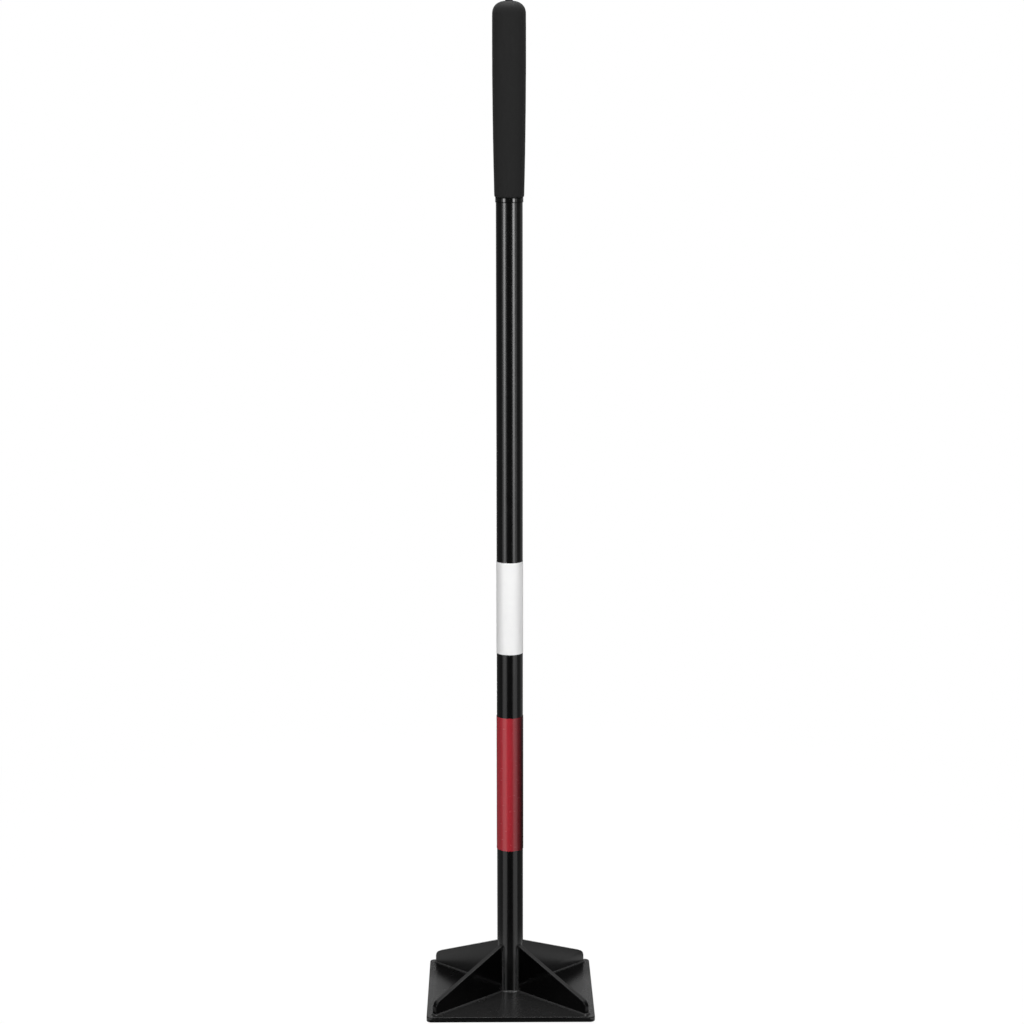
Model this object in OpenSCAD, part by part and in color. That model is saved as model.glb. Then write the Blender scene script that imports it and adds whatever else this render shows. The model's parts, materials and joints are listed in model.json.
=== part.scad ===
// Hand tamper: a square steel foot with four gussets welded round an upright steel tube,
// a cushioned grip over the tube's end and two film labels wrapped round the tube.
// The origin is the centre of the sole, +Z runs up the handle and -Y is the front.

/* [Base plate] */
// Side of the square plate
plate_side = 203.2; // [150:0.1:260]
// Thickness of the plate
plate_t = 6.35; // [4:0.05:12]
// Radius of the plate's upright corners
plate_corner_r = 6; // [3:0.5:15]
// Width of the bevel round the plate's top and bottom edges
plate_bevel = 0.8; // [0.3:0.1:1.5]

/* [Handle tube] */
// Outside diameter of the tube
tube_d = 31.75; // [26:0.05:40]
// Wall of the tube
tube_wall = 1.6; // [1.2:0.1:4]
// Length of the tube, from the plate to the end inside the grip
tube_length = 1184; // [950:1:1500]

/* [Gussets] */
// Thickness of a gusset
gusset_t = 6.35; // [4:0.05:10]
// Height of a gusset where it meets the tube
gusset_h = 59; // [40:0.5:90]
// Height of a gusset at its outer end, before the corner is rounded
gusset_toe_h = 14.4; // [12:0.1:30]
// Radius of the rounded corner at the outer end
gusset_toe_r = 9; // [3:0.5:10]
// Distance from a gusset's outer end to the square corner of the plate
gusset_setback = 13.3; // [12:0.1:30]

/* [Welds] */
// Leg of the fillet welds on the plate
weld_leg = 1.7; // [1:0.1:4]
// Leg of the upright fillet welds between a gusset and the tube
upright_weld_leg = 1.5; // [1:0.1:3]
// Length left without weld below a gusset's top edge
weld_stop = 2; // [0.5:0.5:10]

/* [Grip] */
// Length of the grip without the nub on its crown
grip_length = 226.5; // [150:0.5:300]
// Thickness of the grip at its lower end
grip_foot_wall = 1.75; // [1:0.05:6]
// Thickness of the grip at its widest
grip_swell_wall = 3.95; // [2.5:0.05:10]
// Height of the widest place above the grip's lower end
grip_swell_z = 175; // [90:1:200]
// Height of the domed crown
grip_crown_h = 16.4; // [6:0.1:18]
// Fullness of the crown: 2 is an ellipse, and more makes its shoulder squarer
grip_crown_fullness = 2.5; // [2:0.1:4]
// Thickness of the grip over the end of the tube
grip_end_wall = 15.75; // [10:0.05:25]
// Radius of the grip's lower edge
grip_lip_r = 1.6; // [0.5:0.1:1.7]
// Diameter of the nub on the crown
nub_d = 9; // [4:0.5:12]
// Height of the nub above the crown
nub_h = 1.3; // [0.8:0.1:5]

/* [Collar] */
// Height of the ring below the grip
collar_h = 6.3; // [3:0.1:15]
// Wall of the ring
collar_wall = 0.75; // [0.5:0.05:1.5]
// Radius of the ring's rounded edges
collar_edge_r = 0.6; // [0.2:0.05:0.75]

/* [End plug] */
// Thickness of the plug's head on the end of the tube
plug_head_t = 3; // [1.5:0.1:6]
// Length of the plug inside the tube
plug_length = 24; // [12:0.5:60]
// Wall of the plug's hollow stem
plug_wall = 2; // [1:0.1:4]
// Gap between the plug's stem and the tube, which the ribs fill
plug_gap = 0.6; // [0.2:0.1:1.2]
// Height of a rib round the plug's stem
plug_rib_h = 1.6; // [0.8:0.1:3]
// Number of ribs round the plug's stem
plug_ribs = 4; // [2:1:5]

/* [Labels] */
// Height of the red label's lower edge above the sole
red_label_z = 187; // [110:0.5:260]
// Height of the red label
red_label_h = 167.5; // [60:0.5:220]
// Thickness of the red label
red_label_t = 0.4; // [0.1:0.05:0.6]
// Bare stretch of tube between the red and the white label
label_gap = 79; // [10:0.5:140]
// Height of the white label
white_label_h = 113; // [60:0.5:180]
// Thickness of the white label
white_label_t = 0.25; // [0.1:0.05:0.6]
// Thickness of the glue between a label and the tube
label_glue = 0.05; // [0.02:0.01:0.2]
// Gap between the two ends of a label, at the back of the tube
label_seam = 1.5; // [0.5:0.1:6]

/* [Hidden] */

// Smoothness of round faces
$fn = 96;
// Extra length that carries every cut past the face it opens
overrun = 1;

// Directions of the gussets, turned from +X
rear_right_angle = 45;
rear_left_angle = 135;
front_left_angle = 225;
front_right_angle = 315;
// Direction of the labels' seam, at the back
seam_angle = 90;

// Straight steps in each curved stretch of the grip's outline
lip_steps = 4;
swell_steps = 12;
crown_steps = 14;
nub_steps = 4;

tube_r = tube_d / 2;
tube_bore_r = tube_r - tube_wall;
tube_end_z = plate_t + tube_length;

gusset_reach = plate_side * sqrt(2) / 2 - gusset_setback;
gusset_fall = (gusset_h - gusset_toe_h) / (gusset_reach - tube_r);
gusset_fall_angle = atan(gusset_fall);
gusset_side = gusset_t / 2;

grip_top_z = tube_end_z + plug_head_t + grip_end_wall;
grip_z = grip_top_z - grip_length;
grip_foot_r = tube_r + grip_foot_wall;
grip_swell_r = tube_r + grip_swell_wall;
grip_lip = min(grip_lip_r, grip_foot_wall);
grip_shoulder_z = grip_length - grip_crown_h;
nub_r = nub_d / 2;
nub_edge_r = nub_h / 2;

collar_edge = min(collar_edge_r, collar_wall);

plug_stem_r = tube_bore_r - plug_gap;
plug_rib_pitch = plug_length / (plug_ribs + 1);

white_label_z = red_label_z + red_label_h + label_gap;

// Height of a gusset's top edge above the plate, at a distance from the handle's axis
function gusset_top(x) = gusset_h - gusset_fall * (x - tube_r);

// Points of an arc from one angle to another
function arc(centre, r, from, to, steps) = [
    for (i = [0 : steps])
        let (a = from + (to - from) * i / steps)
        centre + r * [cos(a), sin(a)]
];

// Radius of the grip's barrel at a height above its lower end
function barrel_r(z) =
    grip_swell_r - (grip_swell_r - grip_foot_r) * pow((grip_swell_z - z) / grip_swell_z, 2);

// Half cross-section of a plate with bevelled edges, out to a distance from its middle
module plate_half_section(reach) {
    polygon([
        [0, 0],
        [reach - plate_bevel, 0],
        [reach, plate_bevel],
        [reach, plate_t - plate_bevel],
        [reach - plate_bevel, plate_t],
        [0, plate_t],
    ]);
}

// Bevelled bar across the plate, as long as the straight part of its sides
module plate_bar() {
    rotate([90, 0, 0])
        linear_extrude(plate_side - 2 * plate_corner_r, center = true) {
            plate_half_section(plate_side / 2);
            mirror([1, 0])
                plate_half_section(plate_side / 2);
        }
}

module base_plate() {
    corner = plate_side / 2 - plate_corner_r;
    color("#2b2b2c")
    union() {
        plate_bar();
        rotate([0, 0, 90])
            plate_bar();
        for (x = [-corner, corner], y = [-corner, corner])
            translate([x, y, 0])
                rotate_extrude()
                    plate_half_section(plate_corner_r);
    }
}

module handle_tube() {
    color("#161617")
    translate([0, 0, plate_t])
        difference() {
            cylinder(h = tube_length, r = tube_r);
            translate([0, 0, -overrun])
                cylinder(h = tube_length + 2 * overrun, r = tube_bore_r);
        }
}

// Side view of a gusset, drawn in as far as the handle's axis
module gusset_outline() {
    toe_x = gusset_reach - gusset_toe_r;
    toe_z = gusset_top(toe_x) - gusset_toe_r / cos(gusset_fall_angle);
    toe_start = [toe_x, toe_z] + gusset_toe_r * [sin(gusset_fall_angle), cos(gusset_fall_angle)];
    polygon([
        [0, 0],
        [gusset_reach, 0],
        [gusset_reach, toe_z],
        [toe_x, toe_z],
        toe_start,
        [0, gusset_top(0)],
    ]);
    translate([toe_x, toe_z])
        intersection() {
            circle(gusset_toe_r);
            square(gusset_toe_r);
        }
}

// Gusset along one diagonal, its inner edge coped to the tube
module gusset(angle) {
    translate([0, 0, plate_t])
        rotate([0, 0, angle])
            difference() {
                rotate([90, 0, 0])
                    linear_extrude(gusset_t, center = true)
                        gusset_outline();
                translate([0, 0, -overrun])
                    cylinder(h = gusset_top(0) + 2 * overrun, r = tube_r);
            }
}

// Space of the tube and of the fillet round its foot, standing on the plate
module tube_foot() {
    cylinder(h = weld_leg, r1 = tube_r + weld_leg, r2 = tube_r);
}

// Fillets between the plate and the tube, one in each quarter between the gussets
module tube_base_weld() {
    color("#303031")
    translate([0, 0, plate_t])
        difference() {
            tube_foot();
            translate([0, 0, -overrun])
                cylinder(h = weld_leg + 2 * overrun, r = tube_r);
            for (angle = [rear_right_angle, rear_left_angle])
                rotate([0, 0, angle])
                    cube([2 * gusset_reach, gusset_t, 2 * (weld_leg + overrun)], center = true);
        }
}

// Fillet between the plate and one side of a gusset that points along +X
module foot_fillet() {
    rotate([90, 0, 90])
        linear_extrude(gusset_reach)
            polygon([
                [gusset_side, 0],
                [gusset_side + weld_leg, 0],
                [gusset_side, weld_leg],
            ]);
}

// Fillet along both sides of a gusset's foot and round its outer end, cut back to the weld round the tube
module foot_weld(angle) {
    side_section = [
        [-gusset_side - weld_leg, 0],
        [gusset_side + weld_leg, 0],
        [gusset_side, weld_leg],
        [-gusset_side, weld_leg],
    ];
    end_section = [
        [0, 0],
        [gusset_reach + weld_leg, 0],
        [gusset_reach, weld_leg],
        [0, weld_leg],
    ];
    translate([0, 0, plate_t])
        rotate([0, 0, angle])
            difference() {
                intersection() {
                    rotate([90, 0, 90])
                        linear_extrude(gusset_reach + weld_leg)
                            polygon(side_section);
                    rotate([90, 0, 0])
                        linear_extrude(gusset_t + 2 * weld_leg, center = true)
                            polygon(end_section);
                }
                translate([0, -gusset_side, -overrun])
                    cube([gusset_reach, gusset_t, weld_leg + 2 * overrun]);
                tube_foot();
            }
}

// Upright fillet between the tube and one side of a gusset that points along +X
module tube_fillet() {
    corner_x = sqrt(tube_r * tube_r - gusset_side * gusset_side);
    corner_angle = asin(gusset_side / tube_r);
    edge_angle = corner_angle + upright_weld_leg / tube_r * 180 / PI;
    height = gusset_top(tube_r + upright_weld_leg) - weld_stop;
    difference() {
        linear_extrude(height)
            polygon([
                [corner_x - upright_weld_leg, gusset_side],
                [corner_x + upright_weld_leg, gusset_side],
                tube_r * [cos(edge_angle), sin(edge_angle)],
            ]);
        translate([0, 0, -overrun])
            cylinder(h = height + 2 * overrun, r = tube_r);
        tube_foot();
        foot_fillet();
    }
}

// Pair of upright fillets between a gusset and the tube
module tube_weld(angle) {
    translate([0, 0, plate_t])
        rotate([0, 0, angle])
            for (flip = [0, 1])
                mirror([0, flip, 0])
                    tube_fillet();
}

module front_left_gusset() {
    color("#1c1c1d")
    gusset(front_left_angle);
}

module front_right_gusset() {
    color("#1c1c1d")
    gusset(front_right_angle);
}

module rear_left_gusset() {
    color("#1c1c1d")
    gusset(rear_left_angle);
}

module rear_right_gusset() {
    color("#1c1c1d")
    gusset(rear_right_angle);
}

module front_left_foot_weld() {
    color("#303031")
    foot_weld(front_left_angle);
}

module front_right_foot_weld() {
    color("#303031")
    foot_weld(front_right_angle);
}

module rear_left_foot_weld() {
    color("#303031")
    foot_weld(rear_left_angle);
}

module rear_right_foot_weld() {
    color("#303031")
    foot_weld(rear_right_angle);
}

module front_left_tube_weld() {
    color("#303031")
    tube_weld(front_left_angle);
}

module front_right_tube_weld() {
    color("#303031")
    tube_weld(front_right_angle);
}

module rear_left_tube_weld() {
    color("#303031")
    tube_weld(rear_left_angle);
}

module rear_right_tube_weld() {
    color("#303031")
    tube_weld(rear_right_angle);
}

// Outline of the grip, from its lower edge round the swelling barrel to the nub on its crown
module grip_outline() {
    lip = arc([grip_foot_r - grip_lip, grip_lip], grip_lip, -90, 0, lip_steps);
    barrel = [
        for (i = [1 : swell_steps])
            let (z = grip_lip + (grip_shoulder_z - grip_lip) * i / swell_steps)
            [barrel_r(z), z]
    ];
    shoulder_r = barrel_r(grip_shoulder_z);
    bend = 2 / grip_crown_fullness;
    crown_end = acos(pow(nub_r / shoulder_r, 1 / bend));
    crown = [
        for (i = [1 : crown_steps])
            let (a = crown_end * i / crown_steps)
            [shoulder_r * pow(cos(a), bend), grip_shoulder_z + grip_crown_h * pow(sin(a), bend)]
    ];
    nub_top = grip_length + nub_h;
    nub = arc([nub_r - nub_edge_r, nub_top - nub_edge_r], nub_edge_r, 0, 90, nub_steps);
    polygon(concat([[0, 0]], lip, barrel, crown, nub, [[0, nub_top]]));
}

// Cushioned sleeve closed over the end of the tube
module cushion_grip() {
    bore_depth = grip_length - grip_end_wall;
    color("#282828")
    translate([0, 0, grip_z])
        difference() {
            rotate_extrude()
                grip_outline();
            translate([0, 0, -overrun])
                cylinder(h = bore_depth + overrun, r = tube_r);
        }
}

// Glossy ring with rounded edges, tight on the tube under the grip
module grip_collar() {
    edge_x = tube_r + collar_wall - collar_edge;
    color("#0e0e0f")
    translate([0, 0, grip_z - collar_h])
        rotate_extrude()
            intersection() {
                translate([tube_r, 0])
                    square([collar_wall, collar_h]);
                union() {
                    square([edge_x, collar_h]);
                    translate([0, collar_edge])
                        square([tube_r + collar_wall, collar_h - 2 * collar_edge]);
                    for (z = [collar_edge, collar_h - collar_edge])
                        translate([edge_x, z])
                            circle(collar_edge);
                }
            }
}

// Hollow plug in the end of the tube, held by ribs, with a head that closes the cut edge
module tube_end_plug() {
    color("#3a3a3a")
    translate([0, 0, tube_end_z]) {
        cylinder(h = plug_head_t, r = tube_r);
        translate([0, 0, -plug_length])
            difference() {
                union() {
                    cylinder(h = plug_length, r = plug_stem_r);
                    for (i = [1 : plug_ribs])
                        translate([0, 0, i * plug_rib_pitch - plug_rib_h / 2])
                            cylinder(h = plug_rib_h, r = tube_bore_r);
                }
                translate([0, 0, -overrun])
                    cylinder(h = plug_length + overrun, r = plug_stem_r - plug_wall);
            }
    }
}

// Film wrapped round the tube, with a narrow seam at the back
module label(z, height, thickness) {
    seam_turn = label_seam / tube_r * 180 / PI;
    translate([0, 0, z])
        rotate([0, 0, seam_angle + seam_turn / 2])
            rotate_extrude(angle = 360 - seam_turn)
                translate([tube_r + label_glue, 0])
                    square([thickness, height]);
}

module red_label() {
    color("#a0272f")
    label(red_label_z, red_label_h, red_label_t);
}

module white_label() {
    color("#ececec")
    label(white_label_z, white_label_h, white_label_t);
}

base_plate();
handle_tube();
front_left_gusset();
front_right_gusset();
rear_left_gusset();
rear_right_gusset();
tube_base_weld();
front_left_foot_weld();
front_right_foot_weld();
rear_left_foot_weld();
rear_right_foot_weld();
front_left_tube_weld();
front_right_tube_weld();
rear_left_tube_weld();
rear_right_tube_weld();
cushion_grip();
grip_collar();
tube_end_plug();
red_label();
white_label();
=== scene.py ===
"""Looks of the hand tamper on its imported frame: finishes, weld beads, soft grip, studio and camera."""

import json
import math

import bpy
from mathutils import Matrix, Vector, noise

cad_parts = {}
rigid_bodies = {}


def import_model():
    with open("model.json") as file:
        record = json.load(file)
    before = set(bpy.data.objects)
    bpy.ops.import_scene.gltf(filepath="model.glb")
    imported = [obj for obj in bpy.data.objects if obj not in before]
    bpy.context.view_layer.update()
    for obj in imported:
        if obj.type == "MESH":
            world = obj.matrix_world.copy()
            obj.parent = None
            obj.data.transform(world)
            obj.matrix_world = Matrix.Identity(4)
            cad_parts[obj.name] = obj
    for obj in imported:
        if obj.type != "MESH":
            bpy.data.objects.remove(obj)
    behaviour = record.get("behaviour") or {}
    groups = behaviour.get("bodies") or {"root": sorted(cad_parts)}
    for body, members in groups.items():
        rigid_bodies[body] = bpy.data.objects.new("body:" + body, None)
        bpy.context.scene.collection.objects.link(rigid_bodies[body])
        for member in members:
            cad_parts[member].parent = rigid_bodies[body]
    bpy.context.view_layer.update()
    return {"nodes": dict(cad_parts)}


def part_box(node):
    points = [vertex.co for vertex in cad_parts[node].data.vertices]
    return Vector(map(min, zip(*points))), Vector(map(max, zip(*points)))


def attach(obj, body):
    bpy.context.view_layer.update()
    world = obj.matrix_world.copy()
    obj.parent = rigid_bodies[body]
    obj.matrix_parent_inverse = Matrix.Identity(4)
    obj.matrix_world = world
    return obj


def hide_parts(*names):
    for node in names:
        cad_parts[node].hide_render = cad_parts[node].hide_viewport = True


for old in list(bpy.data.objects):
    bpy.data.objects.remove(old)

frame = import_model()
nodes = frame["nodes"]

MM = 0.001
# Direction in which each gusset runs out from the handle, in degrees from +X
DIRECTIONS = {"front_left": 225, "front_right": 315, "rear_left": 135, "rear_right": 45}

# Half a gusset's thickness and the leg of the upright welds, which the frame's boxes don't give
GUSSET_SIDE = 6.35 * MM / 2
UPRIGHT_LEG = 1.5 * MM

# Sizes read from the frame
PLATE_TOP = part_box("base_plate")[1].z
TUBE_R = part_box("handle_tube")[1].x
GRIP_FOOT, GRIP_TIP = (corner.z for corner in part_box("cushion_grip"))
GRIP_SWELL_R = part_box("cushion_grip")[1].x
PLUG_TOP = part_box("tube_end_plug")[1].z
WELD_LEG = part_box("tube_base_weld")[1].x - TUBE_R
UPRIGHT_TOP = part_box("front_left_tube_weld")[1].z
# Distance of a gusset's outer end from the axis, by the outermost corner of its foot weld
GUSSET_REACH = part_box("front_right_foot_weld")[1].x * math.sqrt(2) - GUSSET_SIDE - 2 * WELD_LEG


# Shader nodes

# Range in which most of a noise lies
NOISE_LOW, NOISE_HIGH = 0.3, 0.7
# Cosines of a rounded normal's turn on a full edge and off the edge, and the samples taken of it
EDGE_FULL, EDGE_NONE = 0.8, 0.99
EDGE_SAMPLES = 6
# Places of the two colours among a Mix node's inputs, and of the result among its outputs
MIX_LOW, MIX_HIGH, MIX_RESULT = 6, 7, 2


def grey(level):
    """Colour with equal red, green and blue."""
    return (level, level, level)


def add_node(tree, kind, inputs=(), **settings):
    """Adds a node, sets its options and joins or sets its inputs, which are given by name or number."""
    node = tree.nodes.new("ShaderNode" + kind)
    for key, value in settings.items():
        setattr(node, key, value)
    for key, value in dict(inputs).items():
        socket = node.inputs[key]
        if isinstance(value, bpy.types.NodeSocket):
            tree.links.new(value, socket)
        else:
            socket.default_value = (*value, 1.0) if socket.type == "RGBA" else value
    return node


class Finish:
    """A material whose shader is driven by textures laid in the frame's own metres."""

    def __init__(self, name, **settings):
        self.material = bpy.data.materials.new(name)
        self.material.use_nodes = True
        self.tree = self.material.node_tree
        self.shader = self.tree.nodes["Principled BSDF"]
        for socket, value in settings.items():
            self.shader.inputs[socket.replace("_", " ")].default_value = value
        self.place = self.add("TexCoord").outputs["Object"]

    def add(self, kind, inputs=(), **settings):
        """Adds a node to the material."""
        return add_node(self.tree, kind, inputs, **settings)

    def maths(self, operation, first, second):
        """Result of an operation on two numbers."""
        return self.add("Math", {0: first, 1: second}, operation=operation).outputs["Value"]

    def dot(self, first, second):
        """Dot product of two vectors."""
        return self.add("VectorMath", {0: first, 1: second}, operation="DOT_PRODUCT").outputs["Value"]

    def along(self, axis, vector):
        """A vector's part along X, Y or Z."""
        return self.add("SeparateXYZ", {"Vector": vector}).outputs[axis]

    def normal(self):
        """Direction in which a face looks."""
        return self.add("NewGeometry").outputs["Normal"]

    def noise(self, size, detail=2.0, stretch=(1, 1, 1)):
        """Soft noise from 0 to 1 with lumps of that size in metres."""
        mapped = self.add("Mapping", {"Vector": self.place, "Scale": stretch}).outputs["Vector"]
        return self.add("TexNoise", {"Vector": mapped, "Scale": 1 / size, "Detail": detail}).outputs["Fac"]

    def cells(self, size):
        """Distance from the middle of the nearest cell of that size in metres."""
        return self.add("TexVoronoi", {"Vector": self.place, "Scale": 1 / size}).outputs["Distance"]

    def spread(self, value, low, high, start=NOISE_LOW, stop=NOISE_HIGH):
        """Maps a value's range from start to stop to a range from low to high."""
        ends = {"Value": value, "From Min": start, "From Max": stop, "To Min": low, "To Max": high}
        return self.add("MapRange", ends).outputs["Result"]

    def ramp(self, value, stops):
        """Colour that follows a value through (place, colour) stops."""
        node = self.add("ValToRGB", {"Fac": value})
        stretch = node.color_ramp.elements
        while len(stretch) < len(stops):
            stretch.new(1.0)
        for element, (place, colour) in zip(stretch, stops):
            element.position = place
            element.color = (*colour, 1.0)
        return node.outputs["Color"]

    def tones(self, value, low, high):
        """Colour that follows a noise from one colour to another."""
        return self.ramp(value, [(NOISE_LOW, low), (NOISE_HIGH, high)])

    def mix(self, share, low, high):
        """Colour between two, by a share from 0 to 1."""
        inputs = {"Factor": share, MIX_LOW: low, MIX_HIGH: high}
        return self.add("Mix", inputs, data_type="RGBA").outputs[MIX_RESULT]

    def edges(self, width):
        """1 on the sharp outer edges of a piece, falling to 0 within that width."""
        rounded = self.add("Bevel", {"Radius": width}, samples=EDGE_SAMPLES).outputs["Normal"]
        return self.spread(self.dot(rounded, self.normal()), 1.0, 0.0, EDGE_FULL, EDGE_NONE)

    def facing_up(self):
        """1 on faces that look up and 0 on upright ones."""
        return self.along("Z", self.normal())

    def facing_out(self):
        """1 on faces that look away from the handle and 0 on those that look past it."""
        level = self.add("VectorMath", {0: self.place, 1: (1, 1, 0)}, operation="MULTIPLY")
        away = self.add("VectorMath", {0: level.outputs["Vector"]}, operation="NORMALIZE")
        return self.dot(self.normal(), away.outputs["Vector"])

    def turn_from_front(self):
        """Share of a turn round the handle: 0.5 at the front, rising to the right and ending at the back."""
        forward = self.maths("MULTIPLY", self.along("Y", self.place), -1.0)
        turn = self.maths("ARCTAN2", self.along("X", self.place), forward)
        return self.spread(turn, 0.0, 1.0, -math.pi, math.pi)

    def cut_edges(self, node, width):
        """1 at a node's upper and lower edges, falling to 0 within that width."""
        low, high = (corner.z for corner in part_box(node))
        height = self.along("Z", self.place)
        above = self.maths("SUBTRACT", height, low)
        below = self.maths("SUBTRACT", high, height)
        return self.spread(self.maths("MINIMUM", above, below), 1.0, 0.0, 0.0, width)

    def bump(self, *layers):
        """Adds relief to the shader: (height, depth in metres) layers, one on the other."""
        normal = None
        for height, depth in layers:
            inputs = {"Height": height, "Distance": depth, "Strength": 1.0}
            if normal is not None:
                inputs["Normal"] = normal
            normal = self.add("Bump", inputs).outputs["Normal"]
        self.tree.links.new(normal, self.shader.inputs["Normal"])

    def drive(self, **sources):
        """Joins sources to the shader's sockets."""
        for socket, source in sources.items():
            self.tree.links.new(source, self.shader.inputs[socket.replace("_", " ")])


# Painted steel

# Specular level of a surface that nothing dulls
PLAIN_GLOSS = 0.5
# Values of facing_up at which upright faces end, leaning ones begin and end, and lying ones begin
UPRIGHT_TO, LEANING_FROM, LEANING_TO, LYING_FROM = 0.20, 0.30, 0.86, 0.91


class Coat(Finish):
    """Black powder coat with orange peel, thinner and so lighter on sharp edges."""

    def __init__(self, name, level, roughness, peel):
        super().__init__(name, IOR=1.5)
        cloud = self.noise(size=14 * MM, detail=4)
        black = self.tones(cloud, grey(level * 0.8), grey(level * 1.2))
        self.colour = self.mix(self.edges(width=0.5 * MM), black, grey(level * 2))
        self.roughness = self.spread(cloud, roughness * 0.92, roughness * 1.08)
        self.drive(Base_Color=self.colour, Roughness=self.roughness)
        lumps = self.noise(size=1.4 * MM, detail=1.5)
        grain = self.noise(size=0.25 * MM, detail=2)
        self.bump((lumps, peel), (grain, peel * 0.12))

    def edge_gloss(self, lean, top):
        """Specular level: plain on upright faces, lean on bevels and rounded edges, top on lying faces."""
        stops = [
            (UPRIGHT_TO, grey(PLAIN_GLOSS)),
            (LEANING_FROM, grey(lean)),
            (LEANING_TO, grey(lean)),
            (LYING_FROM, grey(top)),
        ]
        return self.ramp(self.facing_up(), stops)


def both_sides(left):
    """Stops of a turn from the front: those of its left half, and the same mirrored in its right half."""
    return left + [(1 - place, level) for place, level in reversed(left)]


def plate_coat():
    """Black coat with painted light on the front quarter of the plate's top, a lighter tone standing in for
    the light that falls there; dull edges; and painted shade beside the rear gussets, as bands of weaker
    reflection."""
    finish = Coat("plate_coat", level=0.0015, roughness=0.26, peel=0.002 * MM)
    # Painted light: a lighter tone on the front quarter of the plate's top, standing in for the light that
    # falls there
    painted_front_light = grey(0.0135)
    none, part, full = grey(0.0), grey(0.3), grey(1.0)
    # On the left half of the turn, the front gusset lies at 0.375 and the rear one at 0.125
    quarter_stops = [(0.37, none), (0.38, full)]
    # Painted shade: bands beside the rear gussets whose reflection is dimmed, standing in for the shadow
    # there
    shade_strip_stops = [(0.118, full), (0.127, part), (0.17, part), (0.215, full)]
    turn = finish.turn_from_front()
    quarter = finish.ramp(turn, both_sides(quarter_stops))
    shade_strips = finish.ramp(turn, both_sides(shade_strip_stops))
    lying = finish.spread(finish.facing_up(), 0.0, 1.0, start=0.90, stop=0.97)
    finish.drive(
        Base_Color=finish.mix(finish.maths("MULTIPLY", quarter, lying), finish.colour, painted_front_light),
        Specular_IOR_Level=finish.maths("MULTIPLY", finish.edge_gloss(lean=0.05, top=PLAIN_GLOSS), shade_strips),
    )
    return finish.material


def gusset_coat():
    """Black coat, smooth on the front gussets' sides, rougher on the sloping top edges, rougher on the rear
    gussets with a lighter grey there that is painted light, and dull on rounded edges and outer ends."""
    finish = Coat("gusset_coat", level=0.0008, roughness=0.16, peel=0.002 * MM)
    # The rear gussets' lighter grey is painted light, standing in for the light that falls on their faces
    rear_lit_colour, rear_roughness, top_roughness = grey(0.011), 0.30, 0.36
    rear = finish.spread(finish.along("Y", finish.place), 0.0, 1.0, start=-1 * MM, stop=1 * MM)
    sides = finish.spread(rear, finish.roughness, rear_roughness, start=0.0, stop=1.0)
    outer = finish.spread(finish.facing_out(), 0.0, 1.0, start=0.42, stop=0.52)
    outer_gloss = finish.ramp(finish.facing_up(), [(0.10, grey(0.08)), (0.35, grey(0.3))])
    finish.drive(
        Base_Color=finish.mix(rear, finish.colour, rear_lit_colour),
        Roughness=finish.spread(finish.facing_up(), sides, top_roughness, start=0.80, stop=0.90),
        Specular_IOR_Level=finish.mix(outer, finish.edge_gloss(lean=0.1, top=0.38), outer_gloss),
    )
    return finish.material


# Foam, plastics and films


def grip_foam():
    """Soft matt sleeve: fine closed cells and faint uneven patches."""
    finish = Finish("grip_foam", IOR=1.22, Sheen_Weight=0.03, Sheen_Roughness=0.5)
    patch = finish.noise(size=9 * MM, detail=3)
    dents = finish.noise(size=2.5 * MM, detail=3)
    finish.drive(
        Base_Color=finish.tones(patch, grey(0.0098), grey(0.0122)),
        Roughness=finish.spread(patch, 0.72, 0.86),
    )
    finish.bump((finish.cells(size=0.55 * MM), 0.05 * MM), (dents, 0.06 * MM))
    return finish.material


def collar_gloss():
    """Shiny moulded ring with hairline scuffs round it and dull edges."""
    finish = Finish("collar_gloss", IOR=1.5)
    scuff = finish.noise(size=3 * MM, detail=3, stretch=(1, 1, 14))
    edge = finish.cut_edges("grip_collar", width=1.8 * MM)
    edge_gloss = 0.1
    finish.drive(
        Base_Color=finish.ramp(scuff, [(0.35, grey(0.0015)), (0.75, grey(0.004))]),
        Roughness=finish.spread(scuff, 0.07, 0.13),
        Specular_IOR_Level=finish.spread(edge, PLAIN_GLOSS, edge_gloss, start=0.0, stop=0.6),
    )
    finish.bump((scuff, 0.002 * MM))
    return finish.material


def plug_plastic():
    """Moulded grey-black plastic, hidden in the end of the tube."""
    finish = Finish("plug_plastic", IOR=1.46)
    cloud = finish.noise(size=4 * MM, detail=3)
    finish.drive(
        Base_Color=finish.tones(cloud, grey(0.035), grey(0.05)),
        Roughness=finish.spread(cloud, 0.4, 0.55),
    )
    finish.bump((finish.noise(size=0.4 * MM, detail=2), 0.01 * MM))
    return finish.material


def white_film():
    """White printed film, a little greyed at its cut edges."""
    finish = Finish("white_film", IOR=1.45)
    white, warm_white, soil = grey(0.86), (0.88, 0.88, 0.875), (0.45, 0.45, 0.44)
    cloud = finish.noise(size=6 * MM, detail=4)
    edge = finish.cut_edges("white_label", width=0.7 * MM)
    soiled = finish.spread(edge, 0.0, 0.35, start=0.0, stop=1.0)
    finish.drive(
        Base_Color=finish.mix(soiled, finish.tones(cloud, white, warm_white), soil),
        Roughness=finish.spread(cloud, 0.42, 0.52),
    )
    finish.bump((finish.noise(size=1.8 * MM, detail=2), 0.006 * MM))
    return finish.material


def fade_to_right(finish, full, part, faded):
    """Colour that fades from the front to a dark band on the right and is full again at the back."""
    stops = [(0.49, full), (0.58, part), (0.665, faded), (0.75, faded), (0.84, full)]
    return finish.ramp(finish.turn_from_front(), stops)


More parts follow.
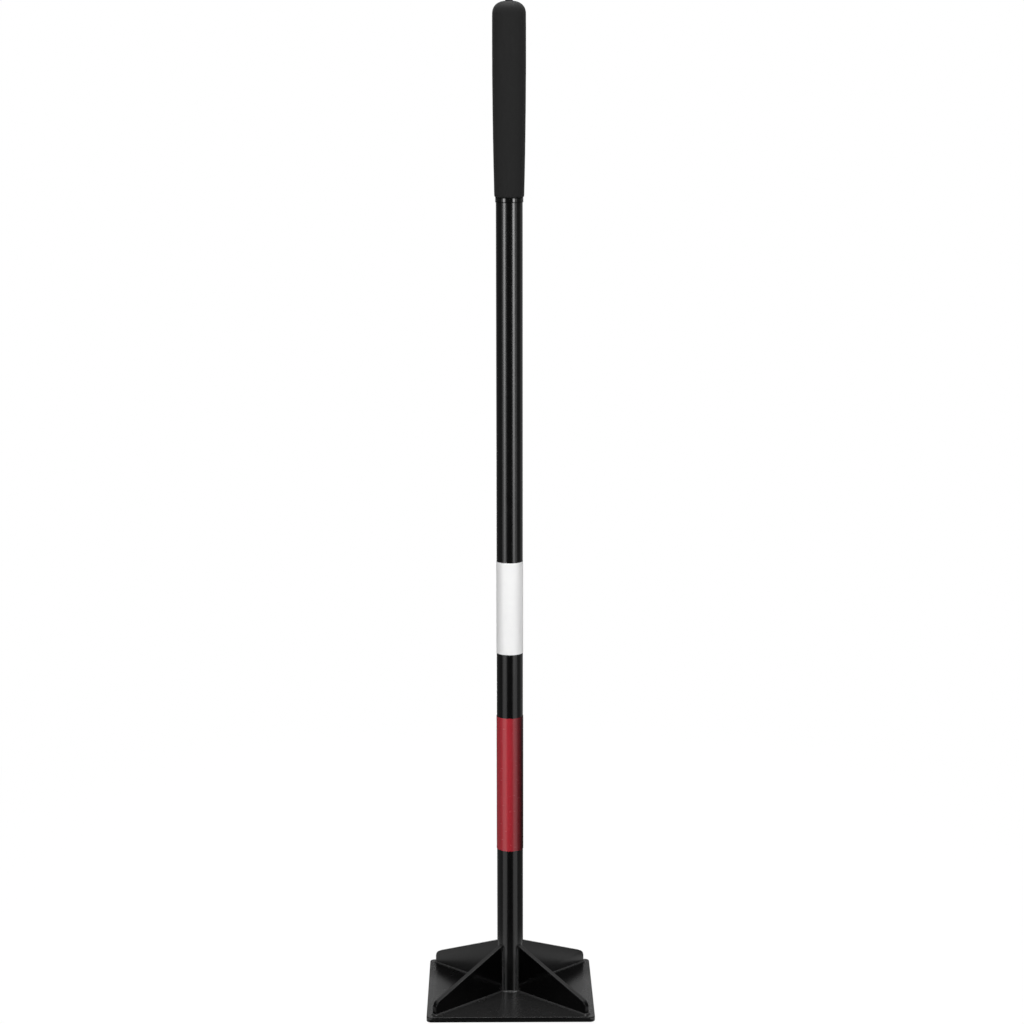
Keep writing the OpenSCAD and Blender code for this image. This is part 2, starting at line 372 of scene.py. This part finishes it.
def red_film():
    """Red printed film whose colour and gloss fade to a dark band on the right side."""
    finish = Finish("red_film", IOR=1.5)
    red, shade = (0.40, 0.019, 0.030), (0.020, 0.0010, 0.0020)
    middle = tuple((2 * r + 3 * s) / 5 for r, s in zip(red, shade))
    dusty_red, worn_red = (0.5, 0.06, 0.07), (0.12, 0.006, 0.01)
    cloud = finish.noise(size=5 * MM, detail=4)
    dusty = finish.spread(cloud, 0.0, 0.03)
    edge = finish.cut_edges("red_label", width=0.6 * MM)
    worn = finish.spread(edge, 0.0, 0.5, start=0.0, stop=1.0)
    tone = finish.mix(dusty, fade_to_right(finish, red, middle, shade), dusty_red)
    finish.drive(
        Base_Color=finish.mix(worn, tone, worn_red),
        Roughness=finish.spread(cloud, 0.22, 0.28),
        Specular_IOR_Level=fade_to_right(finish, grey(0.7), grey(0.5), grey(0.1)),
    )
    finish.bump((finish.noise(size=2.2 * MM, detail=2), 0.003 * MM))
    return finish.material


FINISHES = {
    "plate_coat": plate_coat(),
    "gusset_coat": gusset_coat(),
    "tube_coat": Coat("tube_coat", level=0.0012, roughness=0.20, peel=0.003 * MM).material,
    # The weld coat's lighter black is painted highlight: it brightens the weld lines in place of the glints
    # along them
    "weld_coat": Coat("weld_coat", level=0.014, roughness=0.28, peel=0.006 * MM).material,
    "grip_foam": grip_foam(),
    "collar_gloss": collar_gloss(),
    "plug_plastic": plug_plastic(),
    "red_film": red_film(),
    "white_film": white_film(),
}


# Rigid nodes keep their CAD shape

# Widths to which the coat rounds the edges of plate and gussets
PLATE_ROUNDING = 0.35 * MM
GUSSET_ROUNDING = 0.6 * MM
ROUNDING_STEPS = 3
# Distance within which a node's points are one, the turn up to which its faces are one flat, and the turn
# from which an edge is sharp enough to round
SAME_POINT = 0.002 * MM
FLAT_TURN = math.radians(0.5)
SHARP_TURN = math.radians(35)


def dress(node, slot):
    """Gives a CAD node its finish."""
    nodes[node].data.materials.clear()
    nodes[node].data.materials.append(FINISHES[slot])


def round_edges(node, width):
    """Rounds a CAD node's sharp edges, as a coat of paint does."""
    stack = nodes[node].modifiers
    stack.new("weld", "WELD").merge_threshold = SAME_POINT
    flat = stack.new("flat", "DECIMATE")
    flat.decimate_type = "DISSOLVE"
    flat.angle_limit = FLAT_TURN
    bevel = stack.new("bevel", "BEVEL")
    bevel.width = width
    bevel.segments = ROUNDING_STEPS
    bevel.limit_method = "ANGLE"
    bevel.angle_limit = SHARP_TURN
    bevel.harden_normals = True


dress("base_plate", "plate_coat")
dress("handle_tube", "tube_coat")
dress("grip_collar", "collar_gloss")
dress("tube_end_plug", "plug_plastic")
dress("red_label", "red_film")
dress("white_label", "white_film")
round_edges("base_plate", PLATE_ROUNDING)
for side in DIRECTIONS:
    dress(side + "_gusset", "gusset_coat")
    round_edges(side + "_gusset", GUSSET_ROUNDING)


# Mesh helpers

# Turn from which an edge of a made piece is shaded as a sharp one
CREASE_TURN = math.radians(40)


def piece(name, vertices, faces, slot, replaced, crease_turn=CREASE_TURN):
    """Makes a mesh that rides on the frame and stands for CAD nodes."""
    mesh = bpy.data.meshes.new(name)
    mesh.from_pydata([tuple(v) for v in vertices], [], faces)
    mesh.validate()
    mesh.shade_smooth()
    mesh.set_sharp_from_angle(angle=crease_turn)
    mesh.materials.append(FINISHES[slot])
    made = bpy.data.objects.new(name, mesh)
    bpy.context.scene.collection.objects.link(made)
    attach(made, "root")
    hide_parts(*replaced)
    return made


def lathe(profile, segments, shape):
    """Vertices and faces of a profile of (radius, height) turned about Z; both its ends lie on the axis.
    shape(radius, turn, height) gives each point's final radius."""
    turns = [2 * math.pi * i / segments for i in range(segments)]
    vertices = [Vector((0, 0, profile[0][1]))]
    for r, z in profile[1:-1]:
        for turn in turns:
            out = shape(r, turn, z)
            vertices.append(Vector((out * math.cos(turn), out * math.sin(turn), z)))
    vertices.append(Vector((0, 0, profile[-1][1])))
    last_ring = len(vertices) - 1 - segments
    faces = []
    for i in range(segments):
        j = (i + 1) % segments
        faces.append((0, 1 + j, 1 + i))
        faces.append((last_ring + i, last_ring + j, len(vertices) - 1))
        for ring in range(1, last_ring, segments):
            faces.append((ring + i, ring + j, ring + segments + j, ring + segments + i))
    return vertices, faces


def skin(rings):
    """Vertices and faces of a closed solid drawn over rings of equally many points."""
    count = len(rings[0])
    vertices = [point for ring in rings for point in ring]
    faces = [tuple(reversed(range(count)))]
    for start in range(0, len(vertices) - count, count):
        for i in range(count):
            j = (i + 1) % count
            faces.append((start + i, start + j, start + count + j, start + count + i))
    faces.append(tuple(range(len(vertices) - count, len(vertices))))
    return vertices, faces


def joined(solids):
    """Vertices and faces of several solids as one mesh."""
    vertices, faces = [], []
    for solid_vertices, solid_faces in solids:
        shift = len(vertices)
        vertices += solid_vertices
        faces += [tuple(i + shift for i in face) for face in solid_faces]
    return vertices, faces


def stepped(start, stop, steps):
    """Evenly spaced values from start to stop, without the first."""
    return [start + (stop - start) * i / steps for i in range(1, steps + 1)]


def arc(centre, r, start, stop, steps):
    """Points of an arc in the plane of a profile, without the first."""
    return [
        (centre[0] + r * math.cos(turn), centre[1] + r * math.sin(turn))
        for turn in stepped(start, stop, steps)
    ]


# Weld beads

# Pitch of a weld's ripples, how far a ripple's middle runs ahead of its ends, and its height
RIPPLE_PITCH = 1.7 * MM
RIPPLE_BOW = 0.8
RIPPLE_H = 0.16 * MM
# Swell of a bead's face over the straight fillet, as a share of its leg. The upright beads are hollow and
# almost smooth.
BEAD_SWELL = 0.10
UPRIGHT_SWELL = -0.12
UPRIGHT_RIPPLE_H = 0.03 * MM
# Length over which an upright bead tapers off at its top, and the share of its size that is left there
UPRIGHT_TAPER = 8 * MM
TAPER_END = 0.1
# Distance between a bead's cross-sections, and the steps across its face
BEAD_STEP = 0.3 * MM
BEAD_FACE_STEPS = 7
# Depth to which a bead is sunk in the metal that it joins
BEAD_SINK = 0.05 * MM
# Lengths of a foot bead along a gusset's side, round its outer corner and over half its end
FOOT_RUN = GUSSET_REACH - TUBE_R
FOOT_BEND = WELD_LEG * math.pi / 4
FOOT_HALF = FOOT_RUN + FOOT_BEND + GUSSET_SIDE
# Turn round the tube from a gusset's middle to its side
SIDE_TURN = math.asin(GUSSET_SIDE / TUBE_R)


def bead_ring(corner, first, last, along, swell, ripple_h):
    """Cross-section of a bead from its corner, round its rippled face from the first toe to the last."""
    out = ((first - corner) + (last - corner)).normalized()
    leg = (first - corner).length
    ring = [corner - out * BEAD_SINK]
    for i in range(BEAD_FACE_STEPS + 1):
        share = i / BEAD_FACE_STEPS
        bow = math.sin(math.pi * share)
        ripple = abs(math.sin(math.pi * (along / RIPPLE_PITCH + RIPPLE_BOW * bow)))
        rise = bow * (swell * leg + ripple_h * ripple)
        ring.append(first.lerp(last, share) + out * (rise - BEAD_SINK * (1 - bow)))
    return ring


def bead(section, start, stop, swell=BEAD_SWELL, ripple_h=RIPPLE_H, taper=0):
    """Closed bead from one distance to another. section(distance) gives its corner and its two toes, in the
    order in which a right-hand screw along the bead turns past them."""
    count = round((stop - start) / BEAD_STEP)
    rings = []
    for i in range(count + 1):
        along = start + (stop - start) * i / count
        corner, first, last = section(along)
        size = min(1.0, max(TAPER_END, (stop - along) / taper)) if taper else 1.0
        toes = [corner.lerp(toe, size) for toe in (first, last)]
        rings.append(bead_ring(corner, *toes, along, swell, ripple_h))
    return skin(rings)


def turned(solid, degrees, mirrored=False):
    """A solid made for a gusset along +X, set on its own gusset, on the other side if mirrored."""
    vertices, faces = solid
    flip = -1 if mirrored else 1
    turn = Matrix.Rotation(math.radians(degrees), 3, "Z")
    placed = [turn @ Vector((v.x, flip * v.y, v.z)) for v in vertices]
    if mirrored:
        faces = [tuple(reversed(face)) for face in faces]
    return placed, faces


def foot_section(along):
    """Fillet round the foot of a gusset along +X, out along one side, over its end and back along the
    other."""
    half = min(along, 2 * FOOT_HALF - along)
    x = TUBE_R + min(half, FOOT_RUN)
    y = GUSSET_SIDE - max(0, half - FOOT_RUN - FOOT_BEND)
    turn = math.pi / 2 * min(1, max(0, (half - FOOT_RUN) / FOOT_BEND))
    flip = 1 if along <= FOOT_HALF else -1
    corner = Vector((x, flip * y, PLATE_TOP))
    way = Vector((math.sin(turn), flip * math.cos(turn), 0))
    return corner, corner + way * WELD_LEG, corner + Vector((0, 0, WELD_LEG))


def upright_section(height):
    """Fillet between the side of a gusset along +X and the tube."""
    reach = SIDE_TURN + UPRIGHT_LEG / TUBE_R
    corner = Vector((TUBE_R * math.cos(SIDE_TURN), GUSSET_SIDE, height))
    far = Vector((TUBE_R * math.cos(reach), TUBE_R * math.sin(reach), height))
    return corner, corner + Vector((UPRIGHT_LEG, 0, 0)), far


def ring_section(along):
    """Fillet between the plate and the tube, at a distance round the tube's foot."""
    way = Vector((math.cos(along / TUBE_R), math.sin(along / TUBE_R), 0))
    corner = way * TUBE_R + Vector((0, 0, PLATE_TOP))
    return corner, corner + Vector((0, 0, WELD_LEG)), corner + way * WELD_LEG


foot_bead = bead(foot_section, 0, 2 * FOOT_HALF)
upright_bead = bead(upright_section, PLATE_TOP, UPRIGHT_TOP, UPRIGHT_SWELL, UPRIGHT_RIPPLE_H, UPRIGHT_TAPER)
quarters = []
for side, direction in DIRECTIONS.items():
    piece(side + "_foot_bead", *turned(foot_bead, direction), "weld_coat", [side + "_foot_weld"])
    pair = joined([turned(upright_bead, direction, mirrored) for mirrored in (False, True)])
    piece(side + "_tube_bead", *pair, "weld_coat", [side + "_tube_weld"])
    start = (math.radians(direction) + SIDE_TURN) * TUBE_R
    stop = (math.radians(direction + 90) - SIDE_TURN) * TUBE_R
    quarters.append(bead(ring_section, start, stop))
piece("tube_base_bead", *joined(quarters), "weld_coat", ["tube_base_weld"])


# Soft grip

# Clearance of the grip's bore on the tube, and its wall at its lower end
GRIP_CLEARANCE = 0.02 * MM
GRIP_WALL = 1.75 * MM
# The grip's form above its lower end
GRIP_BORE_R = TUBE_R + GRIP_CLEARANCE
GRIP_FOOT_R = TUBE_R + GRIP_WALL
GRIP_SWELL_Z = 175 * MM
GRIP_CROWN_H = 16.4 * MM
GRIP_CROWN_FULLNESS = 2.5
GRIP_LIP_R = 1.6 * MM
NUB_R = 4.5 * MM
NUB_H = 1.3 * MM
NUB_EDGE_R = 0.65 * MM
GRIP_LENGTH = GRIP_TIP - GRIP_FOOT - NUB_H
# Height of the soft unevenness of the foam, and the size of its lumps
FOAM_WAVE = 0.09 * MM
FOAM_LUMP = 11 * MM
# Steps along the parts of the grip's outline and round it, and the turn from which its edges are sharp
LIP_STEPS = 8
BARREL_STEPS = 70
CROWN_STEPS = 40
NUB_STEPS = 6
GRIP_SEGMENTS = 128
GRIP_CREASE_TURN = math.radians(60)


def barrel_r(z):
    """Radius of the grip's barrel at a height above its lower end."""
    return GRIP_SWELL_R - (GRIP_SWELL_R - GRIP_FOOT_R) * ((GRIP_SWELL_Z - z) / GRIP_SWELL_Z) ** 2


def grip_profile():
    """Outline of the sleeve, from the top of its bore round its lower lip and up to the nub on its crown."""
    bore_top = PLUG_TOP - GRIP_FOOT
    bore = [(0, bore_top), (GRIP_BORE_R, bore_top), (GRIP_BORE_R, 0), (GRIP_FOOT_R - GRIP_LIP_R, 0)]
    lip = arc((GRIP_FOOT_R - GRIP_LIP_R, GRIP_LIP_R), GRIP_LIP_R, -math.pi / 2, 0, LIP_STEPS)
    shoulder = GRIP_LENGTH - GRIP_CROWN_H
    shoulder_r = barrel_r(shoulder)
    barrel = [(barrel_r(z), z) for z in stepped(GRIP_LIP_R, shoulder, BARREL_STEPS)]
    bend = 2 / GRIP_CROWN_FULLNESS
    crown_end = math.acos((NUB_R / shoulder_r) ** (1 / bend))
    crown = [
        (shoulder_r * math.cos(turn) ** bend, shoulder + GRIP_CROWN_H * math.sin(turn) ** bend)
        for turn in stepped(0, crown_end, CROWN_STEPS)
    ]
    top = GRIP_LENGTH + NUB_H
    nub = arc((NUB_R - NUB_EDGE_R, top - NUB_EDGE_R), NUB_EDGE_R, 0, math.pi / 2, NUB_STEPS)
    outline = bore + lip + barrel + crown + nub + [(0, top)]
    return [(r, z + GRIP_FOOT) for r, z in outline]


def foam_r(r, turn, z):
    """Radius of the sleeve with the foam's soft unevenness wherever it is wider than its bore."""
    if r <= GRIP_BORE_R:
        return r
    place = Vector((r * math.cos(turn), r * math.sin(turn), z)) / FOAM_LUMP
    return r + FOAM_WAVE * noise.noise(place)


sleeve = lathe(grip_profile(), GRIP_SEGMENTS, foam_r)
grip = piece("soft_grip", *sleeve, "grip_foam", ["cushion_grip"], GRIP_CREASE_TURN)


# Studio floor

# The floor's own colour, what it throws back, its white share beside the tamper, and the distances over
# which that share rises to 1
FLOOR_LEVEL = 0.88
FLOOR_BOUNCE = 0.2
FLOOR_WHITE = 0.92
FLOOR_FADE_FROM = 0.25
FLOOR_FADE_TO = 1.3
# Half the side of the floor, which ends far behind what the camera sees
FLOOR_HALF = 40.0


def seen_directly(tree):
    """1 for camera, glossy and transmission rays, and 0 for the light that falls on surfaces."""
    path = add_node(tree, "LightPath")
    seen = path.outputs["Is Camera Ray"]
    for kind in ("Is Glossy Ray", "Is Transmission Ray"):
        either = add_node(tree, "Math", {0: seen, 1: path.outputs[kind]}, operation="MAXIMUM")
        seen = either.outputs["Value"]
    return seen


def bare_material(name):
    """Material without a shader, and its node tree."""
    material = bpy.data.materials.new(name)
    material.use_nodes = True
    tree = material.node_tree
    tree.nodes.remove(tree.nodes["Principled BSDF"])
    return material, tree


def floor_material():
    """White matt floor that throws little light back; the camera and reflections see it washed out to white,
    the more so the further it lies."""
    material, tree = bare_material("floor_white")
    seen = seen_directly(tree)
    level = add_node(tree, "MapRange", {"Value": seen, "To Min": FLOOR_BOUNCE, "To Max": FLOOR_LEVEL})
    matt = add_node(tree, "BsdfDiffuse", {"Color": level.outputs["Result"]})
    place = add_node(tree, "TexCoord")
    distance = add_node(tree, "VectorMath", {0: place.outputs["Object"]}, operation="LENGTH")
    ends = {"From Min": FLOOR_FADE_FROM, "From Max": FLOOR_FADE_TO, "To Min": FLOOR_WHITE, "To Max": 1.0}
    wash = add_node(tree, "MapRange", {"Value": distance.outputs["Value"], **ends})
    share = add_node(tree, "Math", {0: wash.outputs["Result"], 1: seen}, operation="MULTIPLY")
    white = add_node(tree, "Emission")
    layers = {0: share.outputs["Value"], 1: matt.outputs["BSDF"], 2: white.outputs["Emission"]}
    blend = add_node(tree, "MixShader", layers)
    tree.links.new(blend.outputs["Shader"], tree.nodes["Material Output"].inputs["Surface"])
    return material


def stage_mesh(name, vertices, faces, material):
    """Object of the studio, which is no part of the tamper."""
    mesh = bpy.data.meshes.new(name)
    mesh.from_pydata(vertices, [], faces)
    mesh.materials.append(material)
    made = bpy.data.objects.new(name, mesh)
    bpy.context.scene.collection.objects.link(made)
    return made


floor_corners = [(x * FLOOR_HALF, y * FLOOR_HALF, 0.0) for x, y in ((-1, -1), (1, -1), (1, 1), (-1, 1))]
stage_mesh("floor", floor_corners, [(0, 1, 2, 3)], floor_material())


# Cards that only reflections see, which keep the white room out of parts of them

# Where the floor's cards begin and change, where the walls stand, and the heights of walls and ceiling
CARD_NEAR = 0.20
CARD_MIDDLE = 1.1
WALL_R = 2.3
WALL_H = 2.4
CEILING_H = 4.5
# Paths of (radius, height) that the cards follow
BESIDE_PLATE = ((0.15, 0), (CARD_NEAR, 0))
FLOOR_AND_WALL = ((CARD_NEAR, 0), (WALL_R, 0), (WALL_R, WALL_H))
SPLIT_FLOOR_AND_WALL = ((CARD_NEAR, 0), (CARD_MIDDLE, 0), (WALL_R, 0), (WALL_R, WALL_H))
FLOOR_AND_HIGH_WALL = ((CARD_NEAR, 0), (WALL_R, 0), (WALL_R, CEILING_H))
STREAK = ((0.6, 0.002), (2.25, 0.002), (2.25, 0.35))
CEILING = ((WALL_R, CEILING_H), (0, CEILING_H))
# Each fan of cards: its directions in degrees from the front, positive to the right, its path, and the
# level of each stretch of that path
FANS = {
    "front": (-27, 27, FLOOR_AND_WALL, (0.05, 0.05)),
    "front_right": (27, 66, BESIDE_PLATE, (1.6,)),
    "right": (66, 106, SPLIT_FLOOR_AND_WALL, (0.15, 0.20, 0.13)),
    "right_back": (106, 150, SPLIT_FLOOR_AND_WALL, (0.13, 0.33, 0.34)),
    "back": (150, 210, FLOOR_AND_HIGH_WALL, (0.05, 0.45)),
    "back_streak": (173, 187, STREAK, (3.0, 3.0)),
    "left": (-150, -66, SPLIT_FLOOR_AND_WALL, (0.18, 0.12, 0.13)),
    "front_left": (-66, -27, BESIDE_PLATE, (1.6,)),
    "top": (0, 360, CEILING, (0.45,)),
}
FAN_STEPS = 24
FAN_LIFT = 1 * MM
# Strips of card on the floor along the plate's edges: the direction of each from the front, and its level
STRIPS = {"front": (0, 0.10), "right": (90, 0.72), "back": (180, 0.05), "left": (-90, 0.60)}
STRIP_HALF = 0.13
STRIP_NEAR = 0.1005
STRIP_FAR = 0.20
STRIP_LIFT = 0.1 * MM


def card(name, vertices, faces, level):
    """Sheet with an even glow that only reflections see."""
    material, tree = bare_material(name)
    glow = add_node(tree, "Emission", {"Strength": level})
    tree.links.new(glow.outputs["Emission"], tree.nodes["Material Output"].inputs["Surface"])
    made = stage_mesh(name, vertices, faces, material)
    made.visible_camera = False
    made.visible_diffuse = False
    made.visible_transmission = False
    made.visible_shadow = False


def fan(name, start, stop, inner, outer, level):
    """Card between two directions, from one (radius, height) to another."""
    vertices = []
    for i in range(FAN_STEPS + 1):
        turn = math.radians(start + (stop - start) * i / FAN_STEPS)
        way = Vector((math.sin(turn), -math.cos(turn), 0))
        for reach, height in (inner, outer):
            vertices.append(way * reach + Vector((0, 0, height + FAN_LIFT)))
    card(name, vertices, [(a, a + 2, a + 3, a + 1) for a in range(0, 2 * FAN_STEPS, 2)], level)


def strip(name, direction, level):
    """Card on the floor along the edge of the plate that looks in a direction."""
    corners = [
        (-STRIP_HALF, -STRIP_NEAR),
        (STRIP_HALF, -STRIP_NEAR),
        (STRIP_HALF, -STRIP_FAR),
        (-STRIP_HALF, -STRIP_FAR),
    ]
    turn = Matrix.Rotation(math.radians(direction), 3, "Z")
    card(name, [turn @ Vector((x, y, STRIP_LIFT)) for x, y in corners], [(0, 1, 2, 3)], level)


for name, (start, stop, path, levels) in FANS.items():
    for i, level in enumerate(levels):
        fan(f"{name}_card_{i}", start, stop, path[i], path[i + 1], level)
for name, (direction, level) in STRIPS.items():
    strip(name + "_edge_card", direction, level)


# Lamps and room

# Upright soft boxes on both sides of the camera: direction of each in degrees from the front, and its gain
SIDE_LAMPS = {"left": (-44, 1.0), "right": (37, 1.12)}
# Each is brighter towards its top: lower edge, upper edge and radiance of its stretches
SIDE_LAMP_STRETCHES = ((0.15, 0.40, 2.2), (0.40, 0.60, 3.8), (0.60, 0.80, 5.6), (0.80, 2.10, 7.8))
SIDE_LAMP_DISTANCE = 1.5
SIDE_LAMP_W = 0.40
# Square soft boxes: place, turn about X, side, radiance, and whether reflections show it
SQUARE_LAMPS = {
    "top_lamp": ((0, 0.3, 2.6), 0, 1.2, 10, True),
    "front_lamp": ((0, -2.6, 1.1), math.pi / 2, 0.8, 8, False),
    "back_lamp": ((0, 2.6, 1.1), -math.pi / 2, 1.2, 13, False),
}
# Level of the light that comes from all round
ROOM_LEVEL = 0.06


def lamp(name, place, turn, size, radiance, mirrored=True):
    """Soft box of a width and height, whose face has a given radiance; reflections show it if mirrored."""
    light = bpy.data.lights.new(name, "AREA")
    light.shape = "RECTANGLE"
    light.size, light.size_y = size
    light.energy = radiance * math.pi * size[0] * size[1]
    made = bpy.data.objects.new(name, light)
    made.location = place
    made.rotation_euler = turn
    made.visible_camera = False
    made.visible_glossy = mirrored
    bpy.context.scene.collection.objects.link(made)


def side_lamp(name, direction, gain):
    """Upright soft box in a direction from the front, made of stretches one on the other."""
    turn = math.radians(direction)
    x, y = SIDE_LAMP_DISTANCE * math.sin(turn), -SIDE_LAMP_DISTANCE * math.cos(turn)
    for i, (low, high, radiance) in enumerate(SIDE_LAMP_STRETCHES):
        size = (SIDE_LAMP_W, high - low)
        lamp(f"{name}_lamp_{i}", (x, y, (low + high) / 2), (math.pi / 2, 0, turn), size, radiance * gain)


for name, (direction, gain) in SIDE_LAMPS.items():
    side_lamp(name, direction, gain)
for name, (place, tilt, width, radiance, mirrored) in SQUARE_LAMPS.items():
    lamp(name, place, (tilt, 0, 0), (width, width), radiance, mirrored)

world = bpy.data.worlds.new("room")
bpy.context.scene.world = world
world.use_nodes = True
sky = world.node_tree
ambient = sky.nodes["Background"]
ambient.inputs["Color"].default_value = (*grey(ROOM_LEVEL), 1.0)
white = add_node(sky, "Background", {"Color": grey(1.0)})
layers = {0: seen_directly(sky), 1: ambient.outputs["Background"], 2: white.outputs["Background"]}
blend = add_node(sky, "MixShader", layers)
sky.links.new(blend.outputs["Shader"], sky.nodes["World Output"].inputs["Surface"])


# Camera at the photograph's viewing angle

# Place in metres, turns in radians, lens and sensor in millimetres
CAMERA_PLACE = (-0.01971, -3.0, 1.14075)
CAMERA_PITCH = 0.17626
CAMERA_YAW = -0.00752
CAMERA_ROLL = -0.00107
CAMERA_LENS = 89.15
CAMERA_SENSOR = 36

camera_data = bpy.data.cameras.new("camera")
camera_data.sensor_width = CAMERA_SENSOR
camera_data.lens = CAMERA_LENS
camera = bpy.data.objects.new("camera", camera_data)
camera.location = CAMERA_PLACE
aim = (
    Matrix.Rotation(CAMERA_YAW, 3, "Z")
    @ Matrix.Rotation(math.pi / 2 - CAMERA_PITCH, 3, "X")
    @ Matrix.Rotation(CAMERA_ROLL, 3, "Z")
)
camera.rotation_euler = aim.to_euler()
bpy.context.scene.collection.objects.link(camera)
bpy.context.scene.camera = camera
bpy.context.scene.view_settings.view_transform = "Standard"

bpy.context.view_layer.update()
